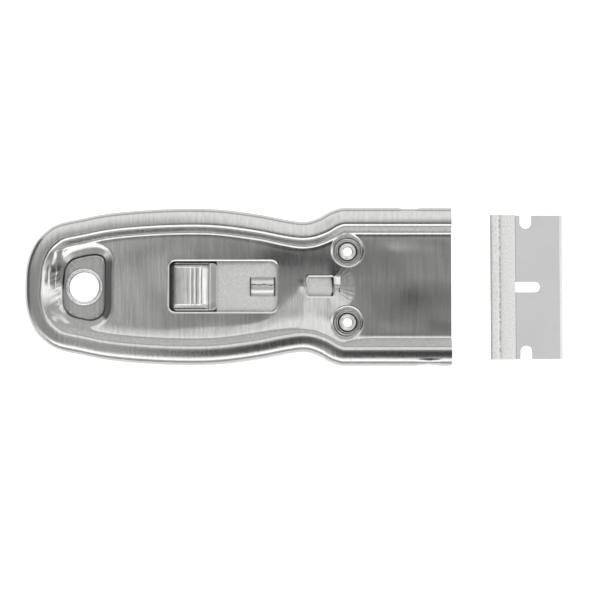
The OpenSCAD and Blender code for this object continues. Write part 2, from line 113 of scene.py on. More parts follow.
def smooth_curve(points, steps, closed=False):
    """Points along a smooth curve through the given ones."""
    pts = [np.array(p, float) for p in points]
    if closed:
        pts = [pts[-1]] + pts + pts[:2]
    else:
        pts = [2 * pts[0] - pts[1]] + pts + [2 * pts[-1] - pts[-2]]
    out = []
    for a, b, c, d in zip(pts, pts[1:], pts[2:], pts[3:]):
        for s in range(steps):
            t = s / steps
            out.append(b + t * (c - a) / 2 + t * t * (2 * a - 5 * b + 4 * c - d) / 2
                       + t**3 * (3 * b - a - 3 * c + d) / 2)
    if not closed:
        out.append(pts[-2])
    return np.array(out)


def even_steps(points, step, closed=False):
    """The same line with its points an even step apart."""
    pts = np.vstack([points, points[:1]]) if closed else np.array(points)
    run = np.concatenate([[0], np.cumsum(np.linalg.norm(np.diff(pts, axis=0), axis=1))])
    count = max(3, int(round(run[-1] / step)))
    marks = np.linspace(0, run[-1], count + 1)
    if closed:
        marks = marks[:-1]
    return np.stack([np.interp(marks, run, pts[:, k]) for k in (0, 1)], axis=1)


def rounded_rectangle(x, l, w, r, step=0.35):
    """Loop of a rectangle with round corners, its rear edge at x and its middle on the centre line."""
    loop = []
    for cx, cy, start in ((x + l - r, w / 2 - r, 0), (x + r, w / 2 - r, 90),
                          (x + r, r - w / 2, 180), (x + l - r, r - w / 2, 270)):
        for a in np.linspace(start, start + 90, 9):
            loop.append((cx + r * math.cos(math.radians(a)), cy + r * math.sin(math.radians(a))))
    return even_steps(np.array(loop), step, True)


def ring(x, y, r, step=0.35):
    count = max(12, int(round(2 * math.pi * r / step)))
    a = np.arange(count) * 2 * math.pi / count
    return np.stack([x + r * np.cos(a), y + r * np.sin(a)], axis=1)


def grown(loop, by, closed=True):
    """The loop moved outwards by a distance; loops run anticlockwise."""
    if closed:
        before, after = np.roll(loop, 1, axis=0), np.roll(loop, -1, axis=0)
    else:
        before = np.vstack([loop[:1], loop[:-1]])
        after = np.vstack([loop[1:], loop[-1:]])
    along = after - before
    along /= np.linalg.norm(along, axis=1)[:, None]
    return loop + by * np.stack([along[:, 1], -along[:, 0]], axis=1)


def line_distance(p, line, closed=False):
    """Distance of each point from a line of points."""
    a = line if closed else line[:-1]
    b = np.roll(line, -1, axis=0) if closed else line[1:]
    ab = b - a
    best = np.full(len(p), 1e9)
    for start in range(0, len(p), 4000):
        q = p[start:start + 4000, None, :] - a[None]
        t = np.clip((q * ab).sum(2) / (ab * ab).sum(1), 0, 1)
        best[start:start + 4000] = np.sqrt(((q - t[..., None] * ab) ** 2).sum(2).min(1))
    return best


def inside(p, loop):
    """Which points lie in a closed loop."""
    a, b = loop, np.roll(loop, -1, axis=0)
    crosses = (a[:, 1] > p[:, None, 1]) != (b[:, 1] > p[:, None, 1])
    rise = np.where(b[:, 1] == a[:, 1], 1e-12, b[:, 1] - a[:, 1])
    x = a[:, 0] + (p[:, None, 1] - a[:, 1]) * (b[:, 0] - a[:, 0]) / rise
    return (crosses & (p[:, None, 0] < x)).sum(1) % 2 == 1


def loop_distance(p, loop):
    """Distance outside a loop, below zero inside it."""
    d = line_distance(p, loop, True)
    return np.where(inside(p, loop), -d, d)


def lower_of(a, b, k):
    """The lower of two heights, rounded where they meet."""
    h = np.maximum(k - np.abs(a - b), 0) / k
    return np.minimum(a, b) - h * h * k / 4


def higher_of(a, b, k):
    return -lower_of(-a, -b, k)


def smooth_step(v, low, high):
    """From nought to one between two values."""
    t = np.clip((v - low) / (high - low), 0, 1)
    return t * t * (3 - 2 * t)


def blend(a, b, share):
    """From one value to another as the share goes from nought to one."""
    return a * (1 - share) + b * share


def hump(v, middle, reach, power=2):
    """A rounded hump of height one, with its middle and reach."""
    return np.exp(-((v - middle) / reach) ** power)


# Outline of the handle

TAIL_SHARE = [(0, 0), (0.0105, 0.295), (0.058, 0.553), (0.132, 0.718), (0.206, 0.806),
              (0.328, 0.864), (0.51, 0.937), (0.755, 0.983), (1, 1)]
NECK_SHARE = [(0.286, 0.086), (0.609, 0.46), (0.845, 0.857), (1, 1)]
FLARE_SHARE = [(0.357, 0.27), (0.673, 0.74), (1, 1)]


def handle_outline():
    """From the front's left corner round the tail to its right corner."""
    half = [(sx * BELLY_X, sy * BELLY_W / 2) for sx, sy in TAIL_SHARE]
    half += [(BELLY_X + sx * (NECK_X - BELLY_X), (BELLY_W - sy * (BELLY_W - NECK_W)) / 2)
             for sx, sy in NECK_SHARE]
    half += [(NECK_X + sx * (FLARE_X - NECK_X), (NECK_W + sy * (FRONT_W - NECK_W)) / 2)
             for sx, sy in FLARE_SHARE]
    half += [(FLARE_X + 4, FRONT_W / 2), (FLARE_X + 10, FRONT_W / 2)]
    curve = smooth_curve(half[::-1] + [(x, -y) for x, y in half[1:]], 10)
    ends = [[(HANDLE_L, FRONT_W / 2)], curve, [(HANDLE_L, -FRONT_W / 2)]]
    line = even_steps(np.vstack(ends), OUTLINE_STEP)
    line[:, 1] = np.clip(line[:, 1], -FRONT_W / 2, FRONT_W / 2)
    return line


def inward_directions():
    """For each point of the outline the direction square to it, towards the inside."""
    lean = grown(OUTLINE, -1, False) - OUTLINE
    lean = lean / np.linalg.norm(lean, axis=1)[:, None]
    lean[0], lean[-1] = (0, -1), (0, 1)
    return lean


OUTLINE = handle_outline()
INWARD = inward_directions()


# Pressed form of the shells


def rim_profile(slope, fine=1):
    """Rows from the seam over the crest and down the inner slope: distance in, height, direction of travel."""
    rise = CREST_Z - EDGE_R * math.cos(SHOULDER)
    shoulder_r = (CREST_D - EDGE_R * (1 - math.sin(SHOULDER))) / math.sin(SHOULDER)
    side = rise - shoulder_r * (1 - math.cos(SHOULDER))
    # The seam's small round edge, then the straight side
    rows = [(0.12, 0, 90), (0.03, 0.04, 90), (0, 0.14, 90), (0, side * 0.5, 90)]
    d, z = 0.0, side

    def arc(r, start, end, steps):
        nonlocal d, z
        steps *= fine
        for k in range(steps + 1):
            f = math.radians(start + (end - start) * k / steps)
            s = math.radians(start)
            turn = -1 if end < start else 1
            row = (d + turn * r * (math.sin(f) - math.sin(s)),
                   z - turn * r * (math.cos(f) - math.cos(s)), math.degrees(f))
            if math.dist(row[:2], rows[-1][:2]) > 1e-9:
                rows.append(row)
        d, z = rows[-1][:2]

    arc(EDGE_R, 90, math.degrees(SHOULDER), 14)
    arc(shoulder_r, math.degrees(SHOULDER), 0, 6)
    arc(CREST_R, 0, -math.degrees(slope), 10)
    return rows


RIM = rim_profile(SLOPE)
SKIRT = [row for row in RIM if row[0] < SKIRT_D]


def rim_height(d, slope):
    """Height of the rim, its inner slope carried on down below the panel."""
    rows = rim_profile(slope, 16)[3:]
    last_d, last_z, _ = rows[-1]
    return np.interp(d, [row[0] for row in rows] + [last_d + 5],
                     [row[1] for row in rows] + [last_z - 5 * math.tan(slope)])


WELL = even_steps(smooth_curve([
    (20.95, 6.6), (20.2, 8.1), (18.1, 8.65), (14.5, 8.1), (12.0, 7.2), (10.5, 5.4), (9.85, 2.6),
    (9.7, -1.0), (9.85, -4.5), (10.9, -6.8), (12.4, -7.9), (14.6, -8.5), (17.3, -8.9),
    (19.4, -8.2), (20.7, -6.6), (21.0, -3.5), (21.0, 3.5)], 8, True), 0.35, True)


def rim_form(d, x, y):
    """The rim, whose inner slope is gentler at the mouth and on the right than on the left of the tail."""
    mouth, right = smooth_step(x, 75, 86), smooth_step(-y, -2, 3)
    left_rim = blend(rim_height(d, SLOPE), rim_height(d, MOUTH_SLOPE), mouth)
    right_rim = rim_height(d + 0.22 * smooth_step(d, 2.7, 4.1), RIGHT_SLOPE)
    return blend(left_rim, right_rim, right)


def panel_form(d, x, y):
    """The panel, eased up to the rim, a little higher on the left and at the tail, and dished at the neck."""
    front = np.maximum(smooth_step(x, 82, 91), smooth_step(y, 0, 4))
    ease_d, ease_r = blend(EASE_D, MOUTH_EASE_D, front), blend(EASE_R, MOUTH_EASE_R, front)
    ease = np.clip(ease_d - d, 0, ease_d - EASE_END)
    left_lift, tail_lift = 0.46 * smooth_step(y, 2, 13), 0.75 * smooth_step(-x, -10.5, -8)
    panel = PANEL_Z + left_lift + ease**2 / (2 * ease_r) + neck_dish(x, y)
    return panel + smooth_step(d, 8, 12) * sway(x, y) + tail_lift


def neck_dimples(z, x, y):
    """The height with a dimple pressed in round each of the neck's eyelets."""
    floor_z = np.full(len(x), FLOOR_Z)
    for side in (-1, 1):
        cone = FLOOR_Z + (np.hypot(x - EYELET_X, y - side * EYELET_Y) - DIMPLE_R) * DIMPLE_RISE
        z = lower_of(z, higher_of(cone, floor_z, 0.3), 1.0)
    return z


def turned_edges(p):
    """How far the sheet falls where the windows' edges are turned down."""
    fall = np.zeros(len(p))
    for cut, wide in ((WINDOW, WINDOW_BEND_W), (CATCH, CATCH_BEND_W)):
        bent = np.maximum(wide - np.maximum(loop_distance(p, rounded_rectangle(*cut)), 0), 0)
        fall += EDGE_BEND * bent * bent / (bent + 0.06)
    return fall


def shell_height(p, upper):
    """Height of a half shell's outer face above the seam."""
    d, x, y = line_distance(p, OUTLINE), p[:, 0], p[:, 1]
    sunk = lower_of(panel_form(d, x, y), well_wall(p), 0.5)
    z = neck_dimples(higher_of(rim_form(d, x, y), sunk, 0.34), x, y)
    if upper:
        z = z - catch_dent(x, y) - turned_edges(p)
        z = np.where(slide_path(p), np.maximum(z, PLATE_Z[1] + SLIDE_GAP + THIN_T), z)
    return z


def slide_path(p):
    """Where the slide plate passes close under the upper panel, apart from the neck's dimples."""
    x, y = p[:, 0], np.abs(p[:, 1])
    clear = np.hypot(x - EYELET_X, y - EYELET_Y) > 4.4
    along = (x > PLATE_REAR - 0.6) & (x < PLATE_TIP + TRAVEL + 0.5)
    half = np.where(x > PLATE_FRONT + TRAVEL + 0.4, TONGUE_HALF, PLATE_HALF) + 0.3
    return clear & along & (y < half)


def sway(x, y):
    """The slight unevenness of the flat panel."""
    z = 0.05 * np.sin(x / 7.1 + 0.8) * np.sin(y / 5.3 + 0.4) + 0.03 * np.sin(x / 3.9 + y / 6.1)
    z += 0.016 * np.sin(x / 1.9 + 1) * np.sin(y / 2.3 + x / 6)
    z += 0.14 * hump(x, 38, 3.2) * hump(y, 3, 4.5)
    return z + 0.37 * smooth_step(x, 87, 102) * hump(y, 2, 6.6)


def neck_dish(x, y):
    """The panel sinks at the neck and rises again towards the right rim."""
    near = hump(x, 73.5, 12.5, 4)
    kink = -0.3 - 0.76 * np.maximum(NECK_X - x, 0) - y
    turn = np.sqrt(kink**2 + 3.3**2)
    return near * (-0.3 + 0.085 * (turn + kink) / 2 + 0.022 * (turn - kink) / 2)


def well_wall(p):
    """The hang hole's well: a flat floor, a small crisp step round it and a sloping wall."""
    out = loop_distance(p, WELL)
    x, y = p[:, 0], p[:, 1]
    tail = smooth_step(-x, -11, -9.2) * smooth_step(-np.abs(y + 0.5), -7, -4)
    ledge = FLOOR_Z + 0.42 * smooth_step(out, -0.12, 0.18) + 0.05 * np.clip(out + 1.6, 0, 1.5) ** 2
    ledge = ledge - 0.26 * hump(out, -0.18, 0.13)
    gentle, steep = 0.7 - 0.3 * tail, 0.7 - 0.04 * tail
    rise = gentle * np.clip(out, 0, 1.3) + steep * np.maximum(out - 1.3, 0)
    sweep = y + 0.6 * out
    streaks = 0.07 * np.sin(2.3 * sweep + 0.4) * np.sin(0.9 * sweep + 1.9)
    return ledge + rise + tail * streaks * smooth_step(out, 0.1, 1.5)


def catch_dent(x, y):
    """The fan-shaped dent in front of the catch window, with fine radial creases, a tab and a raised burr."""
    r, turn = np.hypot(x - DENT_X, y), np.abs(np.arctan2(y, x - DENT_X))
    share = np.clip(1 - (r / DENT_R) ** 1.6, 0, 1)
    dent = DENT_DEPTH * (share - 0.08 * (1 - np.exp(-share / 0.08))) * smooth_step(-turn, -1.7, -0.9)
    creases = 0.003 * np.sin(34 * turn) * (turn < 1.1)
    dent += creases * smooth_step(r, 2.5, 5) * smooth_step(-r, -DENT_R, -6.5)
    beyond = x - CATCH_END
    near = smooth_step(beyond, -0.1, 0.02)
    tab = 0.12 * smooth_step(-np.abs(y + 0.9), -0.85, -0.65) * smooth_step(-beyond, -1.7, -1.4)
    burr = np.clip(1.75 - beyond, 0, 1.75) * 0.5 * smooth_step(-np.abs(y - 1.6), -1.2, -1.0)
    return dent + 0.13 * hump(x, 73.1, 1.0) * hump(y, 0.3, 1.2) + near * (tab - burr)


# Sheets


def open_lines(lines):
    return [(line, False) for line in lines]


def closed_loops(loops):
    return [(loop, True) for loop in loops]


def lone_points(xs, ys):
    return open_lines(np.array([(x, y)]) for x in xs for y in ys)


def triangles(outer, guides, keep):
    """Corner points and triangles of a flat area whose edges follow the guide lines."""
    points, edges = [], []
    for line, closed in closed_loops([outer]) + guides:
        start = len(points)
        points += [Vector((float(x), float(y))) for x, y in line]
        edges += [(start + i, start + i + 1) for i in range(len(line) - 1)]
        if closed:
            edges.append((start + len(line) - 1, start))
    verts, _, faces, _, _, _ = delaunay_2d_cdt(points, edges, [], 0, 1e-4)
    pts = np.array([(v.x, v.y) for v in verts])
    tris = np.array([f for f in faces if len(f) == 3])
    tris = tris[keep(pts[tris].mean(1))]
    a, b, c = (pts[tris[:, k]] for k in range(3))
    area = (b[:, 0] - a[:, 0]) * (c[:, 1] - a[:, 1]) - (b[:, 1] - a[:, 1]) * (c[:, 0] - a[:, 0])
    tris[area < 0] = tris[area < 0][:, ::-1]
    used = np.unique(tris)
    index = np.full(len(pts), -1)
    index[used] = np.arange(len(used))
    return pts[used], index[tris].tolist()


def face_normals(height, p, h=0.01):
    """Directions square to a sheet whose height is given."""
    dx = (height(p + (h, 0)) - height(p - (h, 0))) / (2 * h)
    dy = (height(p + (0, h)) - height(p - (0, h))) / (2 * h)
    n = np.stack([-dx, -dy, np.ones(len(p))], axis=1)
    return n / np.linalg.norm(n, axis=1)[:, None]


def from_faces(name, places, faces, edges=()):
    mesh = bpy.data.meshes.new(name)
    mesh.from_pydata(places, edges, faces)
    mesh.update()
    piece = bpy.data.objects.new(name, mesh)
    bpy.context.scene.collection.objects.link(piece)
    return piece


def free_edges(faces):
    """The edges that only one face has, in the direction in which that face runs."""
    used = dict.fromkeys((a, b) for f in faces for a, b in zip(f, f[1:] + f[:1]))
    return [(a, b) for a, b in used if (b, a) not in used]


def two_sided(faces, count):
    """The faces, the same on the back and the walls between the two along the free edges."""
    walls = [[b, a, a + count, b + count] for a, b in free_edges(faces)]
    return faces + [[i + count for i in f[::-1]] for f in faces] + walls


def closed_sheet(name, points, normals, faces, backs, flip=False):
    """A sheet with a front, a back and walls along its free edges, as one closed mesh."""
    count, free = len(points), free_edges(faces)
    all_faces = two_sided(faces, count)
    if flip:
        all_faces = [f[::-1] for f in all_faces]
        points, backs, normals = (part * (1, 1, -1) for part in (points, backs, normals))
    piece = from_faces(name, [at(*p) for p in np.vstack([points, backs])], all_faces)
    mesh = piece.data
    mesh.polygons.foreach_set("use_smooth", [True] * len(mesh.polygons))
    rims = {tuple(sorted(e)) for a, b in free for e in ((a, b), (a + count, b + count))}
    corners = {tuple(sorted((a, a + count))) for e in free for a in e}
    turns = sharp_turns(points, free)
    for edge in mesh.edges:
        pair = tuple(sorted(edge.vertices))
        edge.use_edge_sharp = pair in rims or (pair in corners and pair[0] in turns)
    mesh.update()
    both = np.vstack([normals, -normals])
    walls = len(faces) * 2
    given = []
    for poly in mesh.polygons:
        for v in poly.vertices:
            given.append(tuple(poly.normal) if poly.index >= walls else tuple(both[v]))
    mesh.normals_split_custom_set(given)
    return piece


def sharp_turns(points, free):
    """The free edges' corners at which the wall turns sharply."""
    ahead = {a: b for a, b in free}
    turns = set()
    for a, b in free:
        c = ahead.get(b)
        if c is None:
            continue
        u, v = points[b] - points[a], points[c] - points[b]
        if np.dot(u, v) < 0.8 * np.linalg.norm(u) * np.linalg.norm(v):
            turns.add(b)
    return turns


RIM_LINES = (5.7, 6.0, 6.2, 6.35, 6.5, 6.65, 6.8, 6.95, 7.1, 7.3, 7.6, 8.0, 8.5, 9.0, 9.6)
WELL_LINES = (-0.42, -0.3, -0.23, -0.16, -0.1, -0.04, 0.02, 0.08, 0.13, 0.19,
              0.3, 0.6, 1.0, 1.3, 1.6, 1.9, 2.2, 2.5, 2.8, 3.1, 3.5)
DIMPLE_LINES = (1.67, 2.0, 2.4, 2.55, 2.7, 2.85, 3.0, 3.3, 3.6, 3.8, 3.95, 4.1, 4.25, 4.4, 4.6, 4.9)
BEND_LINES = (0, 0.06, 0.16, 0.32, 0.5, 0.7, 1)
TAB_LINES = (0.45, 0.65, 0.85, 1.05, 1.25, 1.45, 1.62, 1.74, 1.86)


def shell_guides(windows):
    """Lines that the shell's mesh follows, close together where the sheet bends."""
    guides = open_lines(row_line(row[0]) for row in RIM[len(SKIRT):])
    guides += open_lines(row_line(d) for d in RIM_LINES)
    guides += closed_loops(grown(WELL, e) for e in WELL_LINES)
    for side in (-1, 1):
        guides += closed_loops(ring(EYELET_X, side * EYELET_Y, r) for r in DIMPLE_LINES)
    guides += closed_loops([ring(HANG_X, 0, HANG_R + 0.43)])
    for loop, far in windows:
        guides += closed_loops(grown(loop, e * far) for e in BEND_LINES)
    if windows:
        tab = np.arange(-2.4, 3.3, 0.12)
        guides += open_lines(np.column_stack([np.full(len(tab), CATCH_END + u), tab]) for u in TAB_LINES)
        for r in np.arange(3.3, 7.9, 0.3):
            a = np.linspace(-1.25, 1.25, 12 + int(11 * r))
            guides += open_lines([np.stack([DENT_X + r * np.cos(a), r * np.sin(a)], axis=1)])
    return guides + lone_points(np.arange(9, 112, 0.9), np.arange(-13, 13.1, 0.9))


def shell_panel(outer, upper):
    """The shell inside its skirt: places, directions and faces of the front, and places of the back."""
    windows = [(rounded_rectangle(*cut, step=0.3), far)
               for cut, far in ((WINDOW, 0.45), (CATCH, 0.3)) if upper]

    def keep(p):
        ok = inside(p, outer)
        ok &= np.hypot(p[:, 0] - HANG_X, p[:, 1]) > HANG_R + 0.42
        for side in (-1, 1):
            ok &= np.hypot(p[:, 0] - EYELET_X, p[:, 1] - side * EYELET_Y) > 1.66
        for loop, _ in windows:
            ok &= ~inside(p, loop)
        return ok

    def height(q):
        return shell_height(q, upper)

    flat, faces = triangles(outer, shell_guides(windows), keep)
    points = np.column_stack([flat, height(flat)])
    normals = face_normals(height, flat)
    backs = points - normals * SHEET_T
    if upper:
        near_slide = slide_path(backs)
        backs[near_slide, 2] = np.maximum(backs[near_slide, 2], PLATE_Z[1] + SLIDE_GAP)
    return points, normals, faces, backs


def skirt_rows():
    """The rows of the rolled rim, each with its places, directions and back, crimped near the mouth."""
    crimp = side_crimps(OUTLINE)
    along = np.gradient(crimp, axis=0) / OUTLINE_STEP
    tangent = np.column_stack([-INWARD[:, 1], INWARD[:, 0]])
    for d, z, f in SKIRT[:-1]:
        level = np.full(len(OUTLINE), z)
        hold = max(0.0, 1 - d / 1.5) ** 0.5
        f = np.radians(f - 20 * crimp / CRIMP * (4 * hold * (1 - hold)))
        sideways = -INWARD * np.sin(f)[:, None] + tangent * (along * hold)[:, None]
        normals = np.column_stack([sideways, np.cos(f)])
        normals /= np.linalg.norm(normals, axis=1)[:, None]
        places = np.column_stack([OUTLINE + INWARD * (d + crimp * hold)[:, None], level])
        backs = places - normals * SHEET_T
        if z < 0.2:
            backs = np.column_stack([OUTLINE + INWARD * SHEET_T, level])
        yield places, normals, backs


def half_shell(name, upper):
    """One pressed shell: rim, panel, well and dimples, with the windows in the upper one."""
    edge = OUTLINE + INWARD * SKIRT[-1][0]
    mouth = np.array([(HANDLE_L, y) for y in np.linspace(edge[-1][1], edge[0][1], 40)[1:-1]])
    points, normals, faces, backs = shell_panel(np.vstack([edge, mouth]), upper)
    rows, row_normals, row_backs = zip(*skirt_rows())
    wide = len(OUTLINE)
    starts = [len(points) + j * wide for j in range(len(rows))]
    lines = [list(range(first, first + wide)) for first in starts] + [nearest(points[:, :2], edge)]
    for this, above in zip(lines, lines[1:]):
        faces += [[this[i], this[i + 1], above[i + 1], above[i]] for i in range(wide - 1)]
    piece = closed_sheet(name, np.vstack([points, *rows]), np.vstack([normals, *row_normals]), faces,
                         np.vstack([backs, *row_backs]), flip=not upper)
    mark_crevice(piece)
    return piece


def mark_crevice(piece):
    """Mark the points in the step round the well's floor, where no light reaches."""
    places = np.empty(len(piece.data.vertices) * 3)
    piece.data.vertices.foreach_get("co", places)
    p = places.reshape(-1, 3)[:, :2] / MM + (WHOLE_L / 2, 0)
    deep = np.zeros(len(p))
    close = np.all((p > WELL.min(0) - 2) & (p < WELL.max(0) + 2), axis=1)
    deep[close] = hump(loop_distance(p[close], WELL), -0.08, 0.21)
    deep *= 1 - 0.75 * smooth_step(-p[:, 0], -11.4, -10)
    deep *= 0.7 + 0.3 * smooth_step(np.abs(p[:, 1]), 5, 8)
    mark = piece.data.attributes.new("crevice", "FLOAT", "POINT")
    mark.data.foreach_set("value", deep.astype(np.float32))


def side_crimps(line):
    """Depth of the small dents pressed into the two sides near the mouth."""
    x, y = line[:, 0], line[:, 1]
    right = hump(x, 106.2, 2.6, 4) * (0.75 + 0.25 * np.cos(2.2 * (x - 106.2)))
    left = 0.8 * hump(x, 101.2, 2.4, 4)
    return CRIMP * np.where(y < 0, right, left)


def row_line(d):
    """A line at one distance inside the outline, without the loops that a tight bend would give."""
    line = grown(OUTLINE, -d, False)
    line[0], line[-1] = (HANDLE_L, FRONT_W / 2 - d), (HANDLE_L, d - FRONT_W / 2)
    good = line_distance(line, OUTLINE) > d - 0.02
    return line[good]


def nearest(points, wanted):
    """Numbers of the points that lie at the wanted places."""
    return [int(((points - w) ** 2).sum(1).argmin()) for w in wanted]


upper_shell = half_shell("pressed_upper_shell", True)
lower_shell = half_shell("pressed_lower_shell", False)


# Turned, cut and folded pieces


def select_only(piece):
    for other in bpy.context.selected_objects:
        other.select_set(False)
    piece.select_set(True)
    bpy.context.view_layer.objects.active = piece


@contextmanager
def edit_mode(piece):
    """Edit mode with the whole piece selected."""
    select_only(piece)
    bpy.ops.object.mode_set(mode="EDIT")
    bpy.ops.mesh.select_all(action="SELECT")
    yield
    bpy.ops.object.mode_set(mode="OBJECT")


def shade_by_angle(piece, angle):
    """Smooth shading, but for edges sharper than an angle in degrees."""
    select_only(piece)
    bpy.ops.object.shade_smooth_by_angle(angle=math.radians(angle))


def soften_edges(piece, width, segments=3, angle=40):
    """Round every sharp edge of a piece by a small bevel."""
    bevel = piece.modifiers.new("edge_rounding", "BEVEL")
    bevel.width = width * MM
    bevel.segments = segments
    bevel.limit_method = "ANGLE"
    bevel.angle_limit = math.radians(angle)
    bevel.use_clamp_overlap = True
    select_only(piece)
    bpy.ops.object.modifier_apply(modifier=bevel.name)
    shade_by_angle(piece, angle)


def outward(piece):
    """Close the seams and turn every face outwards."""
    with edit_mode(piece):
        bpy.ops.mesh.remove_doubles(threshold=0.001 * MM)
        bpy.ops.mesh.normals_make_consistent(inside=False)


def rolled_eyelet(name, x, y, bore, reach):
    """A tube whose two ends are rolled over the sheets, spun round its axis."""
    middle, wide = (bore + reach) / 2, (reach - bore) / 2
    barrel = bore + 0.4 * (reach - bore)
    half = [(bore, 0.0)]
    for k in range(17):
        a = math.pi * (1 - k / 16)
        half.append((middle + wide * math.cos(a), SHEET_T + LIP_H * math.sin(a) ** 0.8))
    half += [(barrel, SHEET_T), (barrel, 0.0)]
    places = [at(x + r, y, z) for r, z in half + [(r, -z) for r, z in half[-2:0:-1]]]
    piece = from_faces(name, places, [], [(i, (i + 1) % len(places)) for i in range(len(places))])
    with edit_mode(piece):
        bpy.ops.mesh.spin(steps=96, angle=2 * math.pi, center=at(x, y, 0), axis=(0, 0, 1))
    outward(piece)
    shade_by_angle(piece, 50)
    return piece


def cut_plate(name, loop, holes, low, high, rounding):
    """A flat plate with holes between two heights, its edges slightly rounded."""
    def keep(p):
        ok = inside(p, loop)
        for hole in holes:
            ok &= ~inside(p, hole)
        return ok

    flat, faces = triangles(loop, closed_loops(holes), keep)
    places = [at(x, y, z) for z in (high, low) for x, y in flat]
    piece = from_faces(name, places, two_sided(faces, len(flat)))
    outward(piece)
    soften_edges(piece, rounding, 2)
    return piece


def grid_sheet(name, xs, ys, height, thickness):
    """A formed sheet over a rectangular grid of places, with its own thickness."""
    flat = np.array([(x, y) for x in xs for y in ys])
    points = np.column_stack([flat, height(flat)])
    normals = face_normals(height, flat)
    n = len(ys)
    faces = [[i * n + j, (i + 1) * n + j, (i + 1) * n + j + 1, i * n + j + 1]
             for i in range(len(xs) - 1) for j in range(n - 1)]
    return closed_sheet(name, points, normals, faces, points - normals * thickness)


def softened_copy(name, node, width):
    """The node's own solid with its seams closed and its edges rounded."""
    piece = bpy.data.objects.new(name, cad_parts[node].data.copy())
    piece.data.materials.clear()
    bpy.context.scene.collection.objects.link(piece)
    outward(piece)
    with edit_mode(piece):
        bpy.ops.mesh.dissolve_limited(angle_limit=math.radians(1))
    soften_edges(piece, width)
    return piece


# Eyelets

hang_collar = rolled_eyelet("rolled_hang_collar", HANG_X, 0, HANG_R, HANG_LIP_R)
left_eyelet = rolled_eyelet("rolled_left_eyelet", EYELET_X, EYELET_Y, EYELET_R, EYELET_LIP_R)
right_eyelet = rolled_eyelet("rolled_right_eyelet", EYELET_X, -EYELET_Y, EYELET_R, EYELET_LIP_R)


# Thumb slide


def slide_outline():
    """Flat outline of the slide plate: wide under the window, hollowed beside the neck dimples."""
    wide, tongue, tip = PLATE_HALF, TONGUE_HALF, PLATE_TIP
    corner_r, bow_r, bow_half = 2.1, 10.2, 2.9
    hollow_x, hollow_r = EYELET_X - TRAVEL, 4.36
    ear_rear, ear_front, ear_y = 41.38, 47.63, 7.08
    half = [(PLATE_REAR, 0)]
    half += [(PLATE_REAR + corner_r * (1 - math.cos(a)), wide - corner_r * (1 - math.sin(a)))
             for a in np.linspace(0, math.pi / 2, 9)]
    half += [(ear_rear, wide), (ear_rear, ear_y), (ear_front, ear_y), (ear_front, wide)]
    low = math.acos(min(1, (EYELET_Y - wide + 0.15) / hollow_r))
    high = math.asin((hollow_x - PLATE_FRONT) / hollow_r)
    half += [(hollow_x - hollow_r * math.sin(a), EYELET_Y - hollow_r * math.cos(a))
             for a in np.linspace(low, high, 11)]
    half += [(PLATE_FRONT, tongue), (tip - 2.4, tongue), (tip - 1.5, tongue - 0.12), (tip - 0.85, tongue - 0.6)]
    half += [(tip - bow_r + bow_r * math.cos(a), bow_r * math.sin(a))
             for a in np.linspace(math.asin(bow_half / bow_r), 0, 9)]
    loop = half[:-1] + [(half[-1][0], 0)] + [(x, -y) for x, y in half[::-1][1:-1]]
    return np.array(loop[::-1])


ARCH_SLOT = np.array([(ARCH_X, -ARCH_W / 2), (ARCH_X + ARCH_L, -ARCH_W / 2),
                      (ARCH_X + ARCH_L, ARCH_W / 2), (ARCH_X, ARCH_W / 2)])
slide = cut_plate("slide_strip", slide_outline(), [ARCH_SLOT], *PLATE_Z, 0.06)


def arch_height(p):
    """The lanced bridge, with the crease that runs along it."""
    x, y = p[:, 0], p[:, 1]
    z = PLATE_Z[1] + ARCH_RISE * (1 - np.abs(y / (ARCH_W / 2 + 0.02)) ** 2.8)
    crease = 0.45 + 0.12 * np.sin(x * 2.3) + 0.07 * np.sin(x * 6.1 + 1)
    z -= 0.26 * hump(y, crease, 0.15) * (0.7 + 0.3 * np.sin(x * 4.2 + 0.5))
    end = np.minimum(x - ARCH_X, ARCH_X + ARCH_L - x)
    return z - 0.3 * hump(end, 0, 0.3)


arch = grid_sheet("detent_bridge", np.linspace(ARCH_X + 0.3, ARCH_X + ARCH_L - 0.4, 60),
                  np.linspace(-ARCH_W / 2, ARCH_W / 2, 60), arch_height, ARCH_T)

BUTTON_LOOP = rounded_rectangle(BUTTON_X, BUTTON_L, BUTTON_W, 1.35, 0.3)
# Heights along the button's middle, and the place and depth of each groove between its ribs
BUTTON_RISE = [(0, 0.5), (0.15, 0.62), (0.8, 1.95), (1.45, 2.22), (3.0, 2.62), (7.7, 2.9), (8.2, 2.84),
               (8.8, 2.46), (9.4, 1.92), (9.75, 1.42), (9.95, 0.98), (10.2, 0.78), (10.6, 0.72),
               (BUTTON_L, FLANGE_H)]
GROOVES = [(3.0, 0.03), (4.14, 0.08), (5.33, 0.16), (6.47, 0.18), (7.85, 0.24)]


def button_height(p):
    """The thumb button: a steep rear, a ribbed back, a steep front and a low flange."""
    u, y = p[:, 0] - BUTTON_X, np.abs(p[:, 1])
    known = np.array(BUTTON_RISE)
    top = sum(np.interp(u + s, known[:, 0], known[:, 1]) for s in (-0.2, -0.1, 0, 0.1, 0.2)) / 5
    across = np.clip((BUTTON_W / 2 - CAP_EDGE_R - y) / 1.35, 0, 1)
    across = 1 - (1 - across) ** 2.2
    rise = FLANGE_H + (top - FLANGE_H) * across
    drift = 0.03 * np.sin(0.9 * p[:, 1] + 1)
    held = smooth_step(-y, -5.3, -4.5)
    z = rise + 0.05 * smooth_step(-p[:, 1], 2.2, 4.2) * held
    for place, deep in GROOVES:
        z = z - deep * held * hump(u + drift, place, 0.3)
    short = CAP_EDGE_R - np.minimum(-loop_distance(p, BUTTON_LOOP), CAP_EDGE_R)
    return PLATE_Z[1] + z - (CAP_EDGE_R - np.sqrt(np.maximum(CAP_EDGE_R**2 - short**2, 0)))


